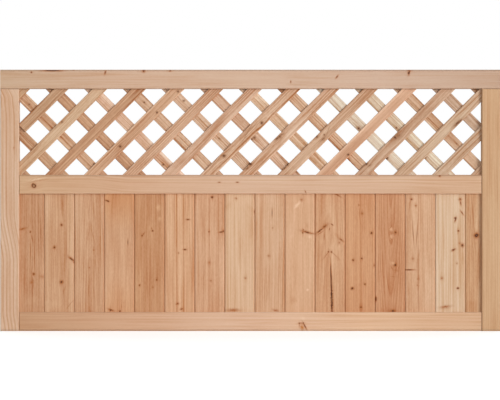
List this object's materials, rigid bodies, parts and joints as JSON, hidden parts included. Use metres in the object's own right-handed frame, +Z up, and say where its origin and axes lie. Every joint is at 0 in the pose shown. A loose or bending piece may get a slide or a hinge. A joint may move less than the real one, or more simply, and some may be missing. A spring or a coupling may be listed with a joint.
{
  "type": "wooden fence panel",
  "caption": "Low timber fence panel: upright tongued boards below, a diagonal lattice above, in a grooved frame with a middle rail.",
  "frame": {"origin": "middle of the panel's underside, halfway through its depth", "axes": "+X along the panel to the right as seen from the front, +Y from the front to the back, +Z up"},
  "size_m": [1.8, 0.042, 0.94],
  "materials": {
    "stile_timber": "planed bare softwood, matt",
    "rail_timber": "planed bare softwood, matt",
    "board_timber": "planed bare softwood, matt",
    "slat_timber": "planed bare softwood, matt",
    "fastener_steel": "plain stainless steel"
  },
  "bodies": {
    "root": {"left_stile": "stile_timber", "right_stile": "stile_timber", "top_rail": "rail_timber", "middle_rail": "rail_timber", "bottom_rail": "rail_timber", "board_01": "board_timber", "board_02": "board_timber", "board_03": "board_timber", "board_04": "board_timber", "board_05": "board_timber", "board_06": "board_timber", "board_07": "board_timber", "board_08": "board_timber", "board_09": "board_timber", "board_10": "board_timber", "board_11": "board_timber", "board_12": "board_timber", "board_13": "board_timber", "board_14": "board_timber", "board_15": "board_timber", "board_16": "board_timber", "front_slat_01": "slat_timber", "front_slat_02": "slat_timber", "front_slat_03": "slat_timber", "front_slat_04": "slat_timber", "front_slat_05": "slat_timber", "front_slat_06": "slat_timber", "front_slat_07": "slat_timber", "front_slat_08": "slat_timber", "front_slat_09": "slat_timber", "front_slat_10": "slat_timber", "front_slat_11": "slat_timber", "front_slat_12": "slat_timber", "front_slat_13": "slat_timber", "front_slat_14": "slat_timber", "front_slat_15": "slat_timber", "back_slat_01": "slat_timber", "back_slat_02": "slat_timber", "back_slat_03": "slat_timber", "back_slat_04": "slat_timber", "back_slat_05": "slat_timber", "back_slat_06": "slat_timber", "back_slat_07": "slat_timber", "back_slat_08": "slat_timber", "back_slat_09": "slat_timber", "back_slat_10": "slat_timber", "back_slat_11": "slat_timber", "back_slat_12": "slat_timber", "back_slat_13": "slat_timber", "back_slat_14": "slat_timber", "back_slat_15": "slat_timber", "left_top_screw": "fastener_steel", "left_middle_screw": "fastener_steel", "left_bottom_screw": "fastener_steel", "right_top_screw": "fastener_steel", "right_middle_screw": "fastener_steel", "right_bottom_screw": "fastener_steel"}
  },
  "joints": []
}
